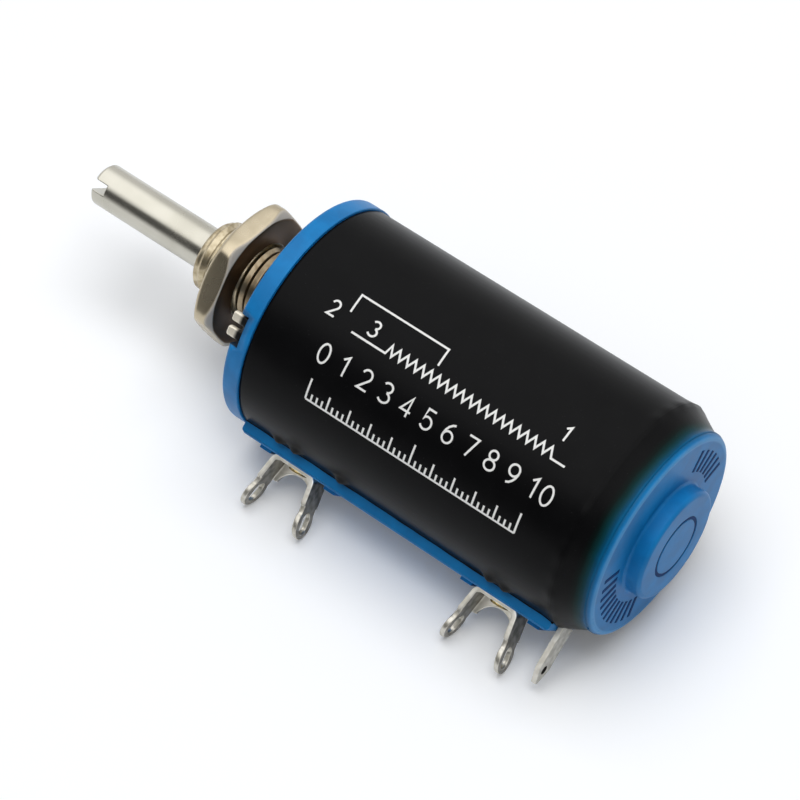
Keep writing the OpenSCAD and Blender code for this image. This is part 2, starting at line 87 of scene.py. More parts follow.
class Socket:
    """An output in a node tree. Sums and products of values become Math nodes."""

    def __init__(self, tree, output):
        self.tree = tree
        self.output = output

    def node(self, kind, settings, inputs, output=0):
        """Adds a node, applies its settings, then fills its inputs with values or links."""
        made = self.tree.nodes.new("ShaderNode" + kind)
        for key, value in settings.items():
            if key == "stops":
                stops = made.color_ramp.elements
                stops.remove(stops[1])
                stops[0].position, stops[0].color = value[0]
                for position, shade in value[1:]:
                    stops.new(position).color = shade
            else:
                setattr(made, key, value)
        for key, value in inputs.items():
            if isinstance(value, Socket):
                self.tree.links.new(value.output, made.inputs[key])
            else:
                made.inputs[key].default_value = value
        return Socket(self.tree, made.outputs[output])

    def maths(self, operation, first, second=0.0):
        return self.node("Math", {"operation": operation}, {0: first, 1: second})

    def __add__(self, other):
        return self.maths("ADD", self, other)

    def __sub__(self, other):
        return self.maths("SUBTRACT", self, other)

    def __rsub__(self, other):
        return self.maths("SUBTRACT", other, self)

    def __mul__(self, other):
        return self.maths("MULTIPLY", self, other)

    __radd__ = __add__
    __rmul__ = __mul__

    def ramp(self, low, high):
        """Goes smoothly from 0 at low to 1 at high."""
        limits = {"Value": self, "From Min": low, "From Max": high}
        return self.node("MapRange", {"interpolation_type": "SMOOTHSTEP"}, limits)

    def tint(self, low, high):
        """A colour that goes from low to high with this value."""
        return self.node("Mix", {"data_type": "RGBA"}, {0: self, 6: low, 7: high}, 2)


def colour(code):
    """The linear colour of a hex code as a picture shows it."""
    shown = [int(code[i : i + 2], 16) / 255 for i in (1, 3, 5)]
    return (*[c / 12.92 if c <= 0.04045 else ((c + 0.055) / 1.055) ** 2.4 for c in shown], 1.0)


def finish(name, fixed):
    """A new material with its shader's fixed sockets set, and the piece's own coordinates."""
    material = bpy.data.materials.new(name)
    material.use_nodes = True
    shader = material.node_tree.nodes["Principled BSDF"]
    for key, value in fixed.items():
        shader.inputs[key].default_value = value
    found = material.node_tree.nodes.new("ShaderNodeTexCoord")
    return material, Socket(material.node_tree, found.outputs["Object"])


def feed(material, varying):
    """Links what varies over the surface to the shader's sockets."""
    shader = material.node_tree.nodes["Principled BSDF"]
    for key, value in varying.items():
        material.node_tree.links.new(value.output, shader.inputs[key])


def cloudy(place, grain, detail=2.0, stretch=(1.0, 1.0, 1.0)):
    """Soft random patches of about the given size in metres, drawn out along an axis by stretch."""
    drawn = place.node("Mapping", {}, {"Vector": place, "Scale": [1 / s for s in stretch]})
    return place.node("TexNoise", {}, {"Vector": drawn, "Scale": 1 / grain, "Detail": detail})


def relief(height, depth, strength=1.0):
    """The surface normal of a height pattern that stands depth metres high."""
    return height.node("Bump", {}, {"Height": height, "Distance": depth, "Strength": strength})


def along_axis(place, axis):
    """One coordinate of a place."""
    return place.node("SeparateXYZ", {}, {"Vector": place}, axis)


def along(place, direction):
    """How far a place lies along a direction from the origin."""
    return place.node("VectorMath", {"operation": "DOT_PRODUCT"}, {0: place, 1: direction}, "Value")


def blue_moulding(name, gloss, marked=None):
    """Moulded blue plastic: faint flow marks, a fine satin skin and a piece's own marks."""
    material, place = finish(name, {"IOR": gloss})
    flow = cloudy(place, blue_grain, 3.0)
    shade = flow.ramp(0.35, 0.7).tint(colour(blue_deep), colour(blue_light))
    height = cloudy(place, blue_skin, 2.0) * blue_skin_h
    if marked:
        shade = marked(place, shade)
    feed(material, {"Base Color": shade, "Roughness": 0.36 + flow * 0.1, "Normal": relief(height, 1.0)})
    return material


def notch_shade(place, shade):
    """Darkens the inside of the notch, where little light comes."""
    out = along(place, notch_out)
    side = place.maths("ABSOLUTE", along(place, notch_side))
    inside = along_axis(place, "X").ramp(-notch_h - notch_soft, -notch_h)
    inside = inside * (1 - side.ramp(notch_half, notch_half + notch_soft))
    inside = inside * out.ramp(*notch_floor) * (1 - out.ramp(*notch_mouth))
    return (inside * 0.92).tint(shade, colour(notch_dark))


def merged(node):
    """A copy of a solid's mesh with its loose triangles joined up into whole faces."""
    bm = bmesh.new()
    bm.from_mesh(frame["nodes"][node].data)
    bmesh.ops.remove_doubles(bm, verts=bm.verts, dist=1e-6)
    bmesh.ops.dissolve_limit(bm, angle_limit=flat_angle, verts=bm.verts, edges=bm.edges)
    return bm


def rounded(bm, width):
    """Rounds the sharp edges."""
    sharp = [e for e in bm.edges if e.is_manifold and e.calc_face_angle() > sharp_angle]
    bmesh.ops.bevel(
        bm, geom=sharp, offset=width, offset_type="OFFSET", segments=3, profile=0.5,
        affect="EDGES", clamp_overlap=False, loop_slide=False, material=-1,
    )
    return bm


def piece(name, bm, material, body, slot, *nodes):
    """Makes a bmesh a piece of the object: it rides on a body and stands for the named solids."""
    mesh = bpy.data.meshes.new(name)
    bm.to_mesh(mesh)
    bm.free()
    mesh.shade_smooth()
    mesh.set_sharp_from_angle(angle=smooth_angle)
    mesh.materials.append(material)
    made = bpy.data.objects.new(name, mesh)
    bpy.context.scene.collection.objects.link(made)
    made.modifiers.new("flat_faces", "WEIGHTED_NORMAL").keep_sharp = True
    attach(made, body)
    if nodes:
        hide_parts(*nodes)
    return made


cover_blue = blue_moulding("cover_moulding", 1.35, notch_shade)
piece("cover_dress", merged("front_cover"), cover_blue, "case", "blue_moulding", "front_cover")

# Threaded bushing: turned brass under a thin flash of nickel, with a fine thread cut to the flange
# and a chamfer at its mouth. Its head is trapped behind the front cover.
bushing_low, bushing_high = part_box("threaded_bushing")
thread_r = 0.0035
thread_pitch = 0.00075
thread_depth = 0.00026
mouth_chamfer = 0.0004
bore_r = 0.00203
bore_mouth = 0.00025
head_r = bushing_high.y
head_t = 0.0014
turn_steps = 72
thread_outline = ((0, 0), (0.14, 0), (0.44, 1), (0.56, 1), (0.86, 0), (1, 0))
thread_shade_span = (0.004, 0.0056)


def carry(bm, edges, x, r):
    """Extrudes a round open edge to a new station along the axis, with a new radius."""
    grown = bmesh.ops.extrude_edge_only(bm, edges=edges)["geom"]
    for vert in [g for g in grown if isinstance(g, bmesh.types.BMVert)]:
        out = Vector((0, vert.co.y, vert.co.z)).normalized()
        vert.co = Vector((x, 0, 0)) + out * r
    return [g for g in grown if isinstance(g, bmesh.types.BMEdge)]


def open_edges(bm, x):
    """The edges of an open rim in the plane across the axis at x."""
    return [e for e in bm.edges if e.is_boundary and all(abs(v.co.x - x) < 1e-7 for v in e.verts)]


def bushing_mesh():
    bm = bmesh.new()
    start = bushing_low.x - thread_pitch
    root_r = thread_r - thread_depth
    outline = [(start + part * thread_pitch, root_r + rise * thread_depth) for part, rise in thread_outline]
    verts = [bm.verts.new((x, 0, r)) for x, r in outline]
    edges = [bm.edges.new(pair) for pair in zip(verts, verts[1:])]
    turns = math.ceil((bushing_high.x - start) / thread_pitch) + 1
    bmesh.ops.spin(
        bm, geom=verts + edges, cent=(0, 0, 0), axis=(1, 0, 0), angle=math.tau * turns,
        dvec=(thread_pitch / turn_steps, 0, 0), steps=turns * turn_steps,
    )
    bmesh.ops.remove_doubles(bm, verts=bm.verts, dist=2e-7)
    head_x = bushing_low.x + head_t
    for x, away in ((bushing_high.x, 1), (head_x, -1)):
        everything = bm.verts[:] + bm.edges[:] + bm.faces[:]
        bmesh.ops.bisect_plane(
            bm, geom=everything, dist=1e-8, plane_co=(x, 0, 0), plane_no=(away, 0, 0), clear_outer=True
        )
    for vert in bm.verts:
        limit = thread_r - max(0, vert.co.x - bushing_high.x + mouth_chamfer)
        reach = math.hypot(vert.co.y, vert.co.z)
        if reach > limit:
            vert.co.y *= limit / reach
            vert.co.z *= limit / reach
    front = carry(bm, open_edges(bm, bushing_high.x), bushing_high.x, bore_r + bore_mouth)
    front = carry(bm, front, bushing_high.x - bore_mouth, bore_r)
    back = carry(bm, open_edges(bm, head_x), head_x, head_r)
    back = carry(bm, back, bushing_low.x, head_r)
    back = carry(bm, back, bushing_low.x, bore_r)
    bmesh.ops.bridge_loops(bm, edges=front + back)
    bmesh.ops.remove_doubles(bm, verts=bm.verts, dist=1e-7)
    bmesh.ops.recalc_face_normals(bm, faces=bm.faces)
    return bm


def bushing_metal():
    """Thin nickel over brass, with painted shade, brown, on the thread between the flange and the nut."""
    material, place = finish("bushing_brass", {"Metallic": 1.0})
    clouds = cloudy(place, 0.0006, 2.0)
    # Painted shade: the thread darkens brown towards the flange, behind the nut.
    thread_shade = 1 - along_axis(place, "X").ramp(*thread_shade_span)
    shade = clouds.ramp(0.3, 0.72).tint(colour("#c9bda2"), colour("#a4967a"))
    shade = (thread_shade * 0.65).tint(shade, colour("#6d563c"))
    feed(material, {"Base Color": shade, "Roughness": 0.28 + clouds.ramp(0.4, 0.8) * 0.1})
    return material


brass = bushing_metal()
piece("bushing_dress", bushing_mesh(), brass, "case", "bushing_brass", "threaded_bushing")

# Locating tab: a small plated strip pressed into the cover, split at its top into two prongs that
# keep the part from turning in its panel.
tab_edge = 0.0002
tab_root = (-0.0002, 0.0002)


def tab_plating():
    """Pale plating on the prongs, with painted shade that goes dark towards the foot of the tab in the notch.
    """
    material, place = finish("tab_metal", {"Metallic": 0.5})
    clouds = cloudy(place, 0.0005, 2.0)
    # Painted shade: the tab goes near black towards its foot in the notch.
    deep = 1 - along_axis(place, "X").ramp(*tab_root)
    shade = deep.tint(clouds.tint(colour("#f2ecdd"), colour("#ddd4c0")), colour("#0b0a09"))
    feed(material, {"Base Color": shade, "Roughness": 0.34 + clouds * 0.1})
    return material


tab_mesh = rounded(merged("locating_tab"), tab_edge)
piece("tab_dress", tab_mesh, tab_plating(), "case", "tab_steel", "locating_tab")

# Case with the terminal rail: one blue moulding. The film hides its barrel, and only the rail shows,
# with a pair of small blocks beside each terminal.
rail_edge = 0.00006
case_blue = blue_moulding("case_moulding", 1.3)
piece("case_dress", rounded(merged("housing"), rail_edge), case_blue, "case", "blue_moulding", "housing")

# Shrink film: a thin black printed tube drawn tight over the case by heat. It is cut away along the
# rail, swells over the joints beside it, and thins out over the rear shoulder until the blue shows.
film_low, film_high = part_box("sleeve")
film_r = film_high.z
film_t = 0.00012
film_front_r = film_r - 0.00005
film_tail_r = 0.0098
film_tail_x = film_low.x + 0.0001
film_hem = 0.0005
shoulder_x = film_low.x + 0.0021
shoulder_round = 0.0003
bead_h = 0.00012
bead_l = 0.0006
film_steps = 288
film_rows = 120
film_thin = (film_low.x - film_hem, film_low.x + 0.0015)
tail_rows = 10
hem_rows = 3
film_slack = 0.00003
rail_half = 0.0031
rail_span = (-0.0352, 0.0)
blade_half = 0.0013
blade_span = (-0.03575, -0.03505)
swell_h = 0.0004
swell_sizes = (0.0006, 0.0004)
swell_off = 0.0009
swell_at = (-0.0059, -0.0077, -0.0127, -0.0287, -0.0303)
lip_h = 0.0001
lip_wave = 0.00003
blade_eye = Vector(next(m for m in frame["record"]["mounts"] if m["name"] == "wiper_eye")["pos_m"])
terminal_out = Vector((0, blade_eye.y, blade_eye.z)).normalized()
terminal_side = Vector((1, 0, 0)).cross(terminal_out)


def swelling(x):
    """Is 1 at the stations along the rail where something under the film lifts it."""
    return sum(math.exp(-(((x - at) / swell_sizes[0]) ** 2)) for at in swell_at)


def film_drop(x, y, z):
    """How far the film lies inside its outline: slow ripples, less the bead and the swellings."""
    around = math.atan2(z, y)
    ripple = math.sin(310 * x + 2 * around) + math.sin(190 * x - 3 * around + 1.3)
    ripple += 0.6 * math.sin(7 * around + 120 * x) * math.sin(260 * x + 0.7)
    offset = abs(Vector((0, y, z)).dot(terminal_side)) - rail_half - swell_off
    near = math.exp(-((offset / swell_sizes[1]) ** 2)) if Vector((0, y, z)).dot(terminal_out) > 0 else 0
    lumps = 0.7 + 0.3 * math.sin(9 * around + 0.4) * math.sin(23 * around)
    bead = lumps * math.exp(-(((x - shoulder_x - bead_l / 2) / bead_l) ** 2))
    drawn = min(1, max(0, (x - film_low.x) / (shoulder_x - film_low.x)))
    slack = film_slack * (1 + ripple / 2.6) / 2 + bead_h * (1 - bead)
    return slack * drawn - swell_h * near * swelling(x)


def cut_window(bm, half, span):
    """Opens a window in a tube on the terminal side, between two stations along the axis."""
    walls = [(terminal_side * half, terminal_side), (terminal_side * -half, terminal_side)]
    walls += [(Vector((x, 0, 0)), Vector((1, 0, 0))) for x in span]
    for point, normal in walls:
        faces = [f for f in bm.faces if f.calc_center_median().dot(terminal_out) > film_r / 2]
        around = {v for f in faces for v in f.verts} | {e for f in faces for e in f.edges}
        bmesh.ops.bisect_plane(
            bm, geom=[*around, *faces], dist=1e-7, plane_co=point, plane_no=normal
        )
    inside = []
    for face in bm.faces:
        middle = face.calc_center_median()
        if middle.dot(terminal_out) > 0 and abs(middle.dot(terminal_side)) < half:
            if span[0] < middle.x < span[1]:
                inside.append(face)
    bmesh.ops.delete(bm, geom=inside, context="FACES")


def raise_lip(bm):
    """Draws the film's long cut edges a little way up the sides of the rail."""
    edges = [e for e in bm.edges if e.is_boundary and all(
        abs(abs(v.co.dot(terminal_side)) - rail_half) < 1e-4 and v.co.dot(terminal_out) > 0 for v in e.verts
    )]
    for part in (0.3, 0.7):
        grown = bmesh.ops.extrude_edge_only(bm, edges=edges)["geom"]
        for vert in [g for g in grown if isinstance(g, bmesh.types.BMVert)]:
            wave = math.sin(900 * vert.co.x) + math.sin(2300 * vert.co.x + 1) + math.sin(410 * vert.co.x)
            inward = math.copysign(film_t / 4, vert.co.dot(terminal_side))
            rise = lip_h + lip_wave * wave / 3
            vert.co += terminal_out * rise * part - terminal_side * inward
        edges = [g for g in grown if isinstance(g, bmesh.types.BMEdge)]


def film_mesh():
    bm = bmesh.new()
    front = Vector((film_high.x, 0, film_front_r))
    shoulder = Vector((shoulder_x, 0, film_r))
    tail = Vector((film_tail_x, 0, film_tail_r))
    hem = Vector((film_low.x - film_hem, 0, film_tail_r))
    stations = [front.lerp(shoulder, row / film_rows) for row in range(film_rows)]
    stations += [shoulder.lerp(tail, row / tail_rows) for row in range(tail_rows)]
    stations += [tail.lerp(hem, row / hem_rows) for row in range(hem_rows + 1)]
    verts = [bm.verts.new(station) for station in stations]
    edges = [bm.edges.new(pair) for pair in zip(verts, verts[1:])]
    bmesh.ops.spin(
        bm, geom=verts + edges, cent=(0, 0, 0), axis=(1, 0, 0), angle=math.tau,
        steps=film_steps, use_merge=True,
    )
    bend = [e for e in bm.edges if all(abs(v.co.x - shoulder_x) < 1e-6 for v in e.verts)]
    bmesh.ops.bevel(
        bm, geom=bend, offset=shoulder_round, offset_type="OFFSET", segments=5, profile=0.5,
        affect="EDGES", clamp_overlap=False, material=-1,
    )
    bmesh.ops.recalc_face_normals(bm, faces=bm.faces)
    cut_window(bm, rail_half, rail_span)
    cut_window(bm, blade_half, blade_span)
    for vert in bm.verts:
        reach = math.hypot(vert.co.y, vert.co.z)
        share = 1 - film_drop(*vert.co) / reach
        vert.co.y *= share
        vert.co.z *= share
    raise_lip(bm)
    return bm


def black_film():
    """Satin black film with stretch marks along it, which turns green, teal and blue as it thins."""
    material, place = finish("black_film", {"Specular IOR Level": 0.07})
    patch = cloudy(place, 0.003, 3.0)
    streak = cloudy(place, 0.0003, 3.0, (9.0, 1.0, 1.0))
    fleck = cloudy(place, 0.00012, 1.0).ramp(0.74, 0.8)
    thin = (along_axis(place, "X") + patch * 0.0005 - 0.00025).ramp(*film_thin)
    shade = thin.node("ValToRGB", {"stops": [
        (0.0, colour("#045885")),
        (0.06, colour("#044462")),
        (0.22, colour("#053843")),
        (0.42, colour("#052a2b")),
        (0.65, colour("#041210")),
        (0.9, colour("#060607")),
    ]}, {"Fac": thin})
    dusty = (fleck * 0.03 + patch * 0.004).tint(shade, colour("#c8ccd0"))
    polish = 0.24 + streak * 0.08 + patch * 0.06
    marks = relief(streak + fleck * 0.6, 0.000003)
    feed(material, {"Base Color": dusty, "Roughness": polish, "Normal": marks})
    return material


film = piece("film_dress", film_mesh(), black_film(), "case", "black_film", "sleeve")
film_wall = film.modifiers.new("film_wall", "SOLIDIFY")
film_wall.thickness = film_t
film_wall.offset = -1

# Print on the film: a plain circuit sign of a resistance with its tapping, the terminals' numbers,
# and a scale of the ten turns. It is white ink stamped on, about a hundredth of a millimetre proud.
ink_rise = 0.000012
ink_line = 0.00019
ink_slice = 0.00025
digit_h = 0.0019
sign_digit_h = 0.0015
sign_low = 0.01205
sign_high = 0.01295
sign_ends = (-0.0096, -0.0318)
sign_numbers = (("2", -0.0071, 0.01225), ("3", -0.0112, 0.01255), ("1", -0.0303, 0.01375))
tap_high = 0.01525
tap_line = ((-0.0085, 0.01345), (-0.0084, tap_high), (-0.0176, tap_high), (-0.0177, sign_high + 0.0006))
zig_span = (-0.0132, -0.0306)
zig_teeth = 21
scale_turns = 10
scale_rows = (0.0083, 0.0048)
scale_first = -0.0085
scale_pitch = 0.0022
scale_ticks = (0.002, 0.0014, 0.0007)
wide_shift = 0.0006


def arc(x, y, wide, tall, start, end):
    """Points along part of an oval, from one angle to another in degrees."""
    steps = max(4, round(abs(end - start) / 18))
    angles = [math.radians(start + (end - start) * i / steps) for i in range(steps + 1)]
    return [(x + wide * math.cos(angle), y + tall * math.sin(angle)) for angle in angles]


six = arc(0.54, 0.31, 0.49, 0.65, 100, 172) + arc(0.3, 0.31, 0.25, 0.27, 180, 540)
digit_lines = {
    "0": [arc(0.3, 0.5, 0.26, 0.46, 90, 450)],
    "1": [[(0.12, 0.76), (0.36, 0.96), (0.36, 0.04)]],
    "2": [arc(0.3, 0.7, 0.25, 0.26, 165, -40) + [(0.06, 0.04), (0.57, 0.04)]],
    "3": [arc(0.28, 0.74, 0.24, 0.22, 150, -80), arc(0.28, 0.28, 0.28, 0.24, 80, -150)],
    "4": [[(0.43, 0.04), (0.43, 0.96), (0.05, 0.3), (0.58, 0.3)]],
    "5": [[(0.52, 0.96), (0.13, 0.96), (0.09, 0.5)] + arc(0.28, 0.33, 0.27, 0.29, 130, -150)],
    "6": [six],
    "7": [[(0.04, 0.96), (0.56, 0.96), (0.24, 0.04)]],
    "8": [arc(0.3, 0.75, 0.21, 0.21, 270, 630), arc(0.3, 0.28, 0.26, 0.24, 90, 450)],
    "9": [[(0.6 - x, 1 - y) for x, y in six]],
}


def stroke(bm, *points):
    """A printed line of one width through points that are given along the body and around it."""
    spots = [Vector(point) for point in points]
    runs = [(b - a).normalized() for a, b in zip(spots, spots[1:])]
    rows = []
    for i, spot in enumerate(spots):
        before, after = runs[max(i - 1, 0)], runs[min(i, len(runs) - 1)]
        across = (before + after).orthogonal().normalized()
        across *= ink_line / 2 / max(0.4, across.dot(after.orthogonal()))
        rows.append([bm.verts.new((*side, 0)) for side in (spot + across, spot - across)])
    for (a, b), (c, d) in zip(rows, rows[1:]):
        bm.faces.new((a, b, d, c))


def numeral(bm, text, x, s, height):
    """A plain printed number, which reads from the front of the body to its rear."""
    start = x + (0.7 * len(text) - 0.1) * height / 2
    for i, digit in enumerate(text):
        for line in digit_lines[digit]:
            stroke(bm, *[(start - (px + 0.7 * i) * height, s + py * height) for px, py in line])


def print_mesh():
    bm = bmesh.new()
    stroke(bm, *tap_line)
    teeth = [(zig_span[0] + (zig_span[1] - zig_span[0]) * (i + 0.5) / zig_teeth / 2,
              sign_high if i % 2 == 0 else sign_low) for i in range(2 * zig_teeth)]
    stroke(bm, (sign_ends[0], sign_low), (zig_span[0], sign_low), *teeth, (sign_ends[1], sign_low))
    for text, x, s in sign_numbers:
        numeral(bm, text, x, s, sign_digit_h)
    number_s, ruler_s = scale_rows
    long_tick, turn_tick, short_tick = scale_ticks
    for turn in range(scale_turns + 1):
        x = scale_first - turn * scale_pitch
        numeral(bm, str(turn), x - (wide_shift if turn > 9 else 0), number_s, digit_h)
        stroke(bm, (x, ruler_s), (x, ruler_s + (long_tick if turn % 5 == 0 else turn_tick)))
        if turn < scale_turns:
            for part in (0.25, 0.5, 0.75):
                between = x - part * scale_pitch
                stroke(bm, (between, ruler_s), (between, ruler_s + short_tick))
    stroke(bm, (scale_first, ruler_s), (scale_first - scale_turns * scale_pitch, ruler_s))
    low = min(v.co.y for v in bm.verts)
    high = max(v.co.y for v in bm.verts)
    for cut in range(1, math.ceil((high - low) / ink_slice)):
        everything = bm.verts[:] + bm.edges[:] + bm.faces[:]
        bmesh.ops.bisect_plane(
            bm, geom=everything, dist=1e-8, plane_co=(0, low + cut * ink_slice, 0), plane_no=(0, 1, 0)
        )
    for vert in bm.verts:
        turn = vert.co.y / film_r
        y, z = math.cos(turn), math.sin(turn)
        reach = film_r - film_drop(vert.co.x, y * film_r, z * film_r) + ink_rise
        vert.co = (vert.co.x, y * reach, z * reach)
    bmesh.ops.recalc_face_normals(bm, faces=bm.faces)
    for face in bm.faces:
        if face.normal.dot(Vector((0, face.verts[0].co.y, face.verts[0].co.z))) < 0:
            face.normal_flip()
    return bm


def white_ink():
    """Stamped ink: thin and slightly broken, so that specks of the film show through it."""
    material, place = finish("white_ink", {"IOR": 1.45})
    wear_and_highlight = cloudy(place, 0.00015, 3.0).ramp(0.66, 0.8)
    shade = wear_and_highlight.tint(colour("#e6e6e4"), colour("#8a8a8a"))
    feed(material, {"Base Color": shade, "Roughness": 0.5 + wear_and_highlight * 0.2})
    return material


piece("film_print", print_mesh(), white_ink(), "case", "black_film")

# Rear cap: the blue moulded lid of the case, with a soft rim and a boss that hides the shaft's rear
# bearing. It is pressed in after the wiper's blade is laid in its slot.
cap_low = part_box("rear_cap")[0]
boss_h = 0.0016
cap_face = cap_low.x + boss_h
film_end = (film_low.x - film_hem - 0.0004, film_low.x - film_hem)
film_end_blue = "#045885"
rim_edge = (0.0091, 0.0093, 0.0095, 0.0097)
rim_back = (cap_face + 0.0001, cap_face + 0.0004)
rim_highlight = "#62a8dc"
mark_shade_blue = ("#07305f", "#0a3a70")
mark_depth = 0.00008
mark_rise = 0.00003
mark_line = 0.0004
mark_soft = 0.00004
mark_ring = 0.0028
mark_steps = 96
mark_radii = (0.0063, 0.0084)
mark_pitch = math.radians(8)
mark_spans = ((math.radians(126), math.pi), (math.radians(-66), math.radians(24)))


def film_fade(place, shade):
    """The film's thin end on the cap's rim, and a painted highlight along the edge of the rim."""
    y, z = along_axis(place, "Y"), along_axis(place, "Z")
    reach = place.maths("SQRT", y * y + z * z)
    x = along_axis(place, "X")
    shade = x.ramp(*film_end).tint(shade, colour(film_end_blue))
    # Painted highlight: a pale band on the cap's face along the rim's edge.
    wear_and_highlight = reach.ramp(*rim_edge[:2]) * (1 - reach.ramp(*rim_edge[2:]))
    wear_and_highlight = wear_and_highlight * (1 - x.ramp(*rim_back))
    return (wear_and_highlight * 0.5).tint(shade, colour(rim_highlight))


def cap_form():
    """The cap with a shallow ring sunk in the end of its boss."""
    bm = merged("rear_cap")
    end = min(bm.faces, key=lambda face: face.calc_center_median().x)
    end_r = max(math.hypot(vert.co.y, vert.co.z) for vert in end.verts)
    for width in (end_r - mark_ring - mark_line / 2, mark_line):
        band = bmesh.ops.inset_region(bm, faces=[end], thickness=width, use_even_offset=True)["faces"]
    bmesh.ops.inset_region(bm, faces=band, thickness=mark_soft, depth=-mark_depth, use_even_offset=True)
    return bm


def mark_form():
    """Painted shade: a dark band laid in the sunken ring, and two rows of plain dark ticks raised from the
    cap's face.
    """
    bm = bmesh.new()
    half = mark_line / 2 - mark_soft
    rise, foot = cap_low.x + mark_depth - mark_rise, cap_low.x + mark_depth + mark_rise
    corners = ((rise, -half), (rise, half), (foot, half), (foot, -half))
    verts = [bm.verts.new((x, 0, mark_ring + side)) for x, side in corners]
    edges = [bm.edges.new(pair) for pair in zip(verts, verts[1:] + verts[:1])]
    bmesh.ops.spin(
        bm, geom=verts + edges, cent=(0, 0, 0), axis=(1, 0, 0), angle=math.tau,
        steps=mark_steps, use_merge=True,
    )
    for first, last in mark_spans:
        for i in range(int((last - first) / mark_pitch)):
            tick = bmesh.ops.create_cube(bm, size=1.0)["verts"]
            bmesh.ops.scale(bm, verts=tick, vec=(2 * mark_rise, mark_radii[1] - mark_radii[0], mark_line))
            bmesh.ops.translate(bm, verts=tick, vec=(cap_face, sum(mark_radii) / 2, 0))
            turn = Matrix.Rotation(first + (i + 0.5) * mark_pitch, 3, "X")
            bmesh.ops.rotate(bm, verts=tick, cent=(0, 0, 0), matrix=turn)
    bmesh.ops.recalc_face_normals(bm, faces=bm.faces)
    return bm


def mark_paint():
    """Painted shade for the marks: dark blue, almost without gloss, slightly cloudy."""
    material, place = finish("mark_paint", {"IOR": 1.12})
    clouds = cloudy(place, 0.0006, 2.0)
    shade = clouds.ramp(0.3, 0.7).tint(*[colour(code) for code in mark_shade_blue])
    feed(material, {"Base Color": shade, "Roughness": 0.45 + clouds * 0.15})
    return material


cap_blue = blue_moulding("cap_moulding", 1.27, film_fade)
piece("cap_dress", cap_form(), cap_blue, "case", "blue_moulding", "rear_cap")
piece("cap_marks", mark_form(), mark_paint(), "case", "blue_moulding")

# Soldering terminals: two forks folded from tinned brass strip and one straight blade. A rivet clamps
# each fork to the rail, and the blade is held between the case and its cap.
fork_edge = 0.00013
blade_edge = 0.00008
rivet_edge = 0.00006
eye_wall = (0.00046, 0.00051)
eye_start = (0.0135, 0.0145)


def tinned(name, darkening, metal, eye=None):
    """Dip-tinned brass: bright edges, painted shade on the flat sides, darker ends, soft streaks, and painted
    shade in the eye if given.
    """
    material, place = finish(name, {"Metallic": metal})
    patch = cloudy(place, 0.0007, 1.0)
    streak = cloudy(place, 0.00018, 2.0, (1.0, 1.0, 4.0))
    facing = along_axis(place.node("TexCoord", {}, {}, "Normal"), "X")
    flat = place.maths("ABSOLUTE", facing).ramp(0.75, 0.97)
    shade = patch.ramp(0.3, 0.7).tint(colour("#f6f3e9"), colour("#dcd8cb"))
    # Painted shade: the flat sides go dark by the way they face.
    shade = (flat * darkening * (0.7 + patch * 0.6)).tint(shade, colour("#24211d"))
    # Darker towards the ends of the legs.
    tip = along(place, terminal_out).ramp(*eye_start)
    shade = (tip * darkening * 0.5).tint(shade, colour("#6f6a61"))
    if eye:
        # Painted shade on the wall of the eye.
        away = place.node("VectorMath", {"operation": "DISTANCE"}, {0: place, 1: eye}, "Value")
        shade = (1 - away.ramp(*eye_wall)).tint(shade, colour("#1c1916"))
    polish = 0.29 + patch.ramp(0.35, 0.75) * 0.08 + streak * 0.04
    feed(material, {"Base Color": shade, "Roughness": polish, "Normal": relief(patch, 0.000002)})
    return material


def plated(name, bright, dull, rough, grain=0.0006):
    """Plated metal with cloudy colour and patchy polish."""
    material, place = finish(name, {"Metallic": 1.0})
    clouds = cloudy(place, grain, 2.0)
    fine = cloudy(place, 0.00009, 2.0)
    shade = clouds.ramp(0.3, 0.72).tint(colour(bright), colour(dull))
    polish = rough + clouds.ramp(0.4, 0.8) * 0.1 + fine * 0.04
    feed(material, {"Base Color": shade, "Roughness": polish, "Normal": relief(fine, 0.0000012)})
    return material


fork_tin = tinned("fork_tin", 0.75, 0.9)
blade_tin = tinned("blade_tin", 0.28, 0.25, blade_eye)
for fork in ("front_terminal", "rear_terminal"):
    piece(fork + "_dress", rounded(merged(fork), fork_edge), fork_tin, "case", "tinned_strip", fork)
blade_mesh = rounded(merged("wiper_terminal"), blade_edge)
piece("blade_dress", blade_mesh, blade_tin, "case", "tinned_strip", "wiper_terminal")
rivet_metal = plated("rivet_metal", "#d9c48c", "#9c8450", 0.2)
for rivet in ("front_rivet", "rear_rivet"):
    piece(rivet + "_dress", rounded(merged(rivet), rivet_edge), rivet_metal, "case", "rivet_brass", rivet)

# Shaft: ground steel with bright nickel plating, slotted at its tip for a screwdriver. It turns in the
# bushing and in the rear cap, and a clip behind the bushing's head holds it.
shaft_edge = 0.0001
shaft_metal = plated("shaft_metal", "#c4c1b6", "#bcb9ad", 0.2, grain=0.004)
piece("shaft_dress", rounded(merged("shaft"), shaft_edge), shaft_metal, "rotor", "shaft_steel", "shaft")

# Mounting nut: a thin hexagon, chamfered on both faces and nickel plated over brass, so that its
# colour is warm. It screws along the bushing to clamp the panel.
nut_low, nut_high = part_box("mounting_nut")
nut_lap = 0.0001
nut_mouth = 0.00035
nut_edge = 0.00028
nut_crease = 0.00006
nut_steps = 144
chamfer_in = 0.00035
chamfer_rows = 6
edge_rows = 4
rear_shade_skin = (nut_low.x + 0.00003, nut_low.x + 0.0001)
sixth = math.radians(60)
nut_solid = merged("mounting_nut")
nut_reaches = [math.hypot(vert.co.y, vert.co.z) for vert in nut_solid.verts]
nut_bore_r, nut_tip_r = min(nut_reaches), max(nut_reaches)
nut_side = max([f for f in nut_solid.faces if abs(f.normal.x) < 0.1], key=lambda face: face.calc_area())
nut_flat = nut_side.normal.dot(nut_side.calc_center_median())
nut_turn = math.atan2(nut_side.normal.z, nut_side.normal.y)
nut_solid.free()
corner_round = (nut_flat / math.cos(sixth / 2) - nut_tip_r) / (1 / math.cos(sixth / 2) - 1)


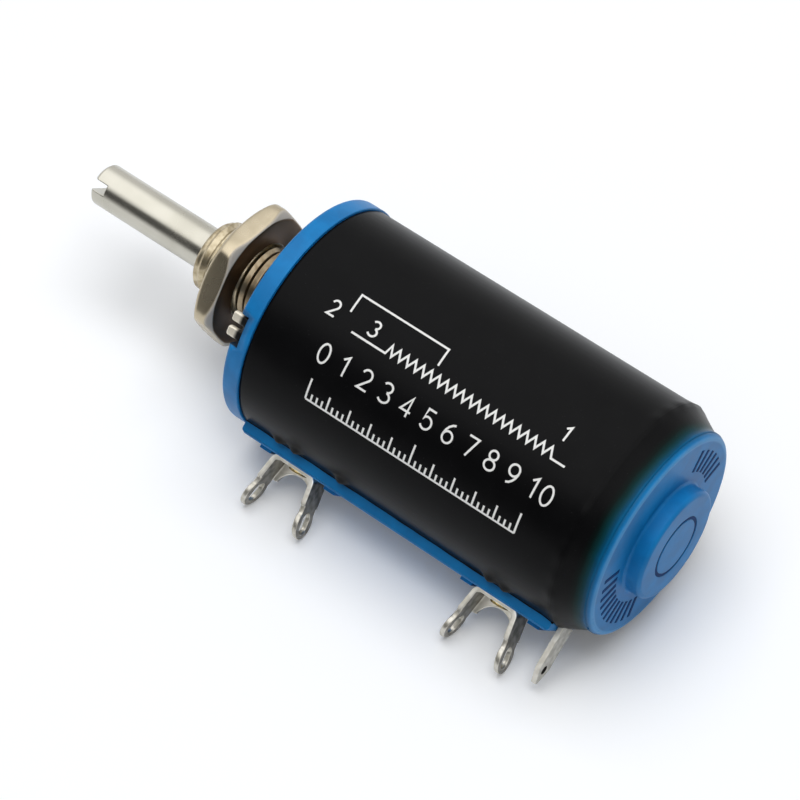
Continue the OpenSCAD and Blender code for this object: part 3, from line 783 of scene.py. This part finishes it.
def nut_reach(turn):
    """How far the nut's wall is from the axis: straight along each flat, and round at the corners."""
    aside = abs((turn - nut_turn + sixth / 2) % sixth - sixth / 2)
    centre = (nut_flat - corner_round) / math.cos(sixth / 2)
    if nut_flat * math.tan(aside) < centre * math.sin(sixth / 2):
        return nut_flat / math.cos(aside)
    short = sixth / 2 - aside
    return centre * math.cos(short) + math.sqrt(corner_round**2 - (centre * math.sin(short)) ** 2)


def chamfer_depth(r):
    """How far the nut's face has dropped at a distance from the axis, with a soft start."""
    past = r - nut_flat + nut_lap
    return math.tan(sixth / 2) * (past + math.hypot(past, nut_crease)) / 2


def nut_form():
    """A hexagon with chamfers that run out towards the middle of each flat, and soft edges."""
    bm = bmesh.new()
    rings = []
    for step in range(nut_steps):
        turn = nut_turn + math.tau * step / nut_steps
        wall = nut_reach(turn)
        half = [Vector((nut_bore_r, nut_mouth)), Vector((nut_bore_r + nut_mouth, 0))]
        start, end = nut_flat - nut_lap - chamfer_in, wall - nut_edge
        for row in range(chamfer_rows + 1):
            r = start + (end - start) * row / chamfer_rows
            half.append(Vector((r, chamfer_depth(r))))
        brink = Vector((wall, chamfer_depth(wall)))
        foot = brink + Vector((0, nut_edge))
        shelf = half[-1]
        for row in range(1, edge_rows + 1):
            part = row / edge_rows
            half.append(shelf.lerp(brink, part).lerp(brink.lerp(foot, part), part))
        places = [(nut_high.x - deep, r) for r, deep in half]
        places += [(nut_low.x + deep, r) for r, deep in reversed(half)]
        rings.append([bm.verts.new((x, r * math.cos(turn), r * math.sin(turn))) for x, r in places])
    for ring, following in zip(rings, rings[1:] + rings[:1]):
        for i in range(len(ring)):
            bm.faces.new((ring[i - 1], ring[i], following[i], following[i - 1]))
    bmesh.ops.recalc_face_normals(bm, faces=bm.faces)
    return bm


def nut_plating():
    """Warm nickel over brass. The face that clamps the panel carries painted shade, dark brown, and its
    chamfer is dull.
    """
    material, place = finish("nut_metal", {})
    # Painted shade: the rear face is dark brown, and rougher.
    rear_shade = 1 - along_axis(place, "X").ramp(*rear_shade_skin)
    facing = along_axis(place.node("TexCoord", {}, {}, "Normal"), "X")
    dull = (facing * -1).ramp(0.35, 0.7) * (1 - rear_shade)
    clouds = cloudy(place, 0.002, 2.0)
    scratch = cloudy(place, 0.0001, 3.0)
    shade = clouds.ramp(0.3, 0.72).tint(colour("#c2b69e"), colour("#b5a990"))
    shade = dull.tint(shade, colour("#c9bfb0"))
    shade = rear_shade.tint(shade, colour("#6a5138"))
    polish = 0.27 + rear_shade * 0.2 + dull * 0.2 + clouds.ramp(0.4, 0.8) * 0.06
    metal = 1 - dull * 0.8
    bumps = relief(scratch, 0.0000012)
    feed(material, {"Base Color": shade, "Roughness": polish, "Metallic": metal, "Normal": bumps})
    return material


piece("nut_dress", nut_form(), nut_plating(), "nut", "nickel_plate", "mounting_nut")

# Inner works: the winding, the drum with its rod, ring, clip and washer, and the wiper on its carriage.
# They are closed in by the case, and keep their own solids with the finish of each metal or moulding.
ivory = ("#e8e4d8", "#cfc9b8")


def natural_moulding():
    """Undyed moulded plastic, faintly clouded."""
    material, place = finish("natural_moulding", {"IOR": 1.5})
    clouds = cloudy(place, 0.0015, 3.0)
    shade = clouds.ramp(0.35, 0.7).tint(*[colour(code) for code in ivory])
    feed(material, {"Base Color": shade, "Roughness": 0.4 + clouds * 0.15})
    return material


drum_plastic = natural_moulding()
wire = plated("winding_wire", "#8a5a34", "#5f3a20", 0.32, grain=0.0003)
bronze = plated("spring_bronze", "#d7ab6a", "#a87a42", 0.22)
collector = plated("collector_brass", "#e3c578", "#b3924c", 0.16)
clip_metal = plated("clip_metal", "#85878a", "#55575a", 0.28)
inner_finish = {
    "resistance_winding": wire,
    "collector_brush": bronze,
    "wiper_contact": bronze,
    "rotor_drum": drum_plastic,
    "wiper_carriage": drum_plastic,
    "collector_rod": collector,
    "slip_ring": collector,
    "thrust_washer": collector,
    "retaining_ring": clip_metal,
}
for node, material in inner_finish.items():
    solid = frame["nodes"][node]
    solid.data.materials.clear()
    solid.data.materials.append(material)

# Table: a white sheet under the part. It takes the soft shadow, and what the camera and the metal see
# of it is lifted to white.
table_half = 1.5
table_lift = 0.09
table_paper = "#f6f8fb"


def looked_at(socket):
    """Is 1 where a ray comes from the camera, a mirror-like surface or through glass."""
    rays = ("Is Camera Ray", "Is Glossy Ray", "Is Transmission Ray")
    seen = [socket.node("LightPath", {}, {}, ray) for ray in rays]
    return socket.maths("MINIMUM", seen[0] + seen[1] + seen[2], 1.0)


bm = bmesh.new()
bmesh.ops.create_grid(bm, x_segments=1, y_segments=1, size=table_half)
bmesh.ops.translate(bm, verts=bm.verts, vec=(0, 0, cad_low.z))
table_mesh = bpy.data.meshes.new("table")
bm.to_mesh(table_mesh)
bm.free()
table = bpy.data.objects.new("table", table_mesh)
bpy.context.scene.collection.objects.link(table)
paper, place = finish("table_paper", {
    "Base Color": colour(table_paper),
    "Roughness": 0.9,
    "Specular IOR Level": 0.0,
    "Emission Strength": 1.0,
})
lift = (looked_at(place) * table_lift).tint((0, 0, 0, 1), (1, 1, 1, 1))
feed(paper, {"Emission Color": lift})
table_mesh.materials.append(paper)

# Light: a white room under a glowing ceiling, with a dark gap low down on the camera's side that draws
# the dark line along the shaft, and two lamps that only cast light, from above and from the side.
room_strength = 0.1
wall_white = 0.88
ceiling_glow = (0.3, 0.8)
ceiling_heights = (0.4, 0.85)
strip_heights = (-0.05, 0.1, 0.6, 0.74)
strip_side = (0.35, 0.6)
strip_dark = 0.88
lamp_aim = (-0.01, 0, 0)
world = bpy.data.worlds.new("studio")
world.use_nodes = True
bpy.context.scene.world = world
room = world.node_tree.nodes["Background"]
sky = Socket(world.node_tree, world.node_tree.nodes.new("ShaderNodeTexCoord").outputs["Generated"])
height = along_axis(sky, "Z")
strip = height.ramp(*strip_heights[:2]) * (1 - height.ramp(*strip_heights[2:]))
strip = strip * along_axis(sky, "Y").ramp(*strip_side)
glossy = sky.node("LightPath", {}, {}, "Is Glossy Ray")
ceiling = height.ramp(*ceiling_heights)
cast = room_strength + ceiling * ceiling_glow[0]
shown = wall_white + ceiling * ceiling_glow[1]
level = cast + looked_at(sky) * (shown - cast)
strength = level * (1 - strip * glossy * strip_dark)
world.node_tree.links.new(strength.output, room.inputs["Strength"])
room.inputs["Color"].default_value = (1, 1, 1, 1)


def soft_lamp(name, place, size, watts):
    """A square lamp that faces the part and isn't mirrored in it."""
    lamp = bpy.data.lights.new(name, "AREA")
    lamp.size = size
    lamp.energy = watts
    holder = bpy.data.objects.new(name, lamp)
    holder.location = place
    holder.rotation_euler = (Vector(lamp_aim) - Vector(place)).to_track_quat("-Z", "Y").to_euler()
    holder.visible_glossy = False
    bpy.context.scene.collection.objects.link(holder)


soft_lamp("top_lamp", (0.0, -0.03, 0.6), 0.54, 3.2)
soft_lamp("side_lamp", (-0.1, 0.4, 0.45), 0.5, 0.15)

# Camera: it looks down on the part from behind its rear cap, as in the photograph, through a long lens
# that is shifted to set the part where it lies there.
camera_azimuth = math.radians(-141.53)
camera_elevation = math.radians(53.18)
camera_distance = 0.3089
camera_aim = Vector((-0.01, 0, 0))
camera_focal = 161.4
camera_shift = (0.0097, -0.0422)
lens = bpy.data.cameras.new("camera")
lens.sensor_width = 36
lens.lens = camera_focal
lens.shift_x, lens.shift_y = camera_shift
lens.clip_start = 0.01
camera = bpy.data.objects.new("camera", lens)
flat = math.cos(camera_elevation)
back = Vector((math.sin(camera_azimuth) * flat, -math.cos(camera_azimuth) * flat, math.sin(camera_elevation)))
camera.location = camera_aim + back * camera_distance
camera.rotation_euler = (-back).to_track_quat("-Z", "Y").to_euler()
bpy.context.scene.collection.objects.link(camera)
bpy.context.scene.camera = camera
bpy.context.scene.view_settings.view_transform = "Standard"

bpy.context.view_layer.update()
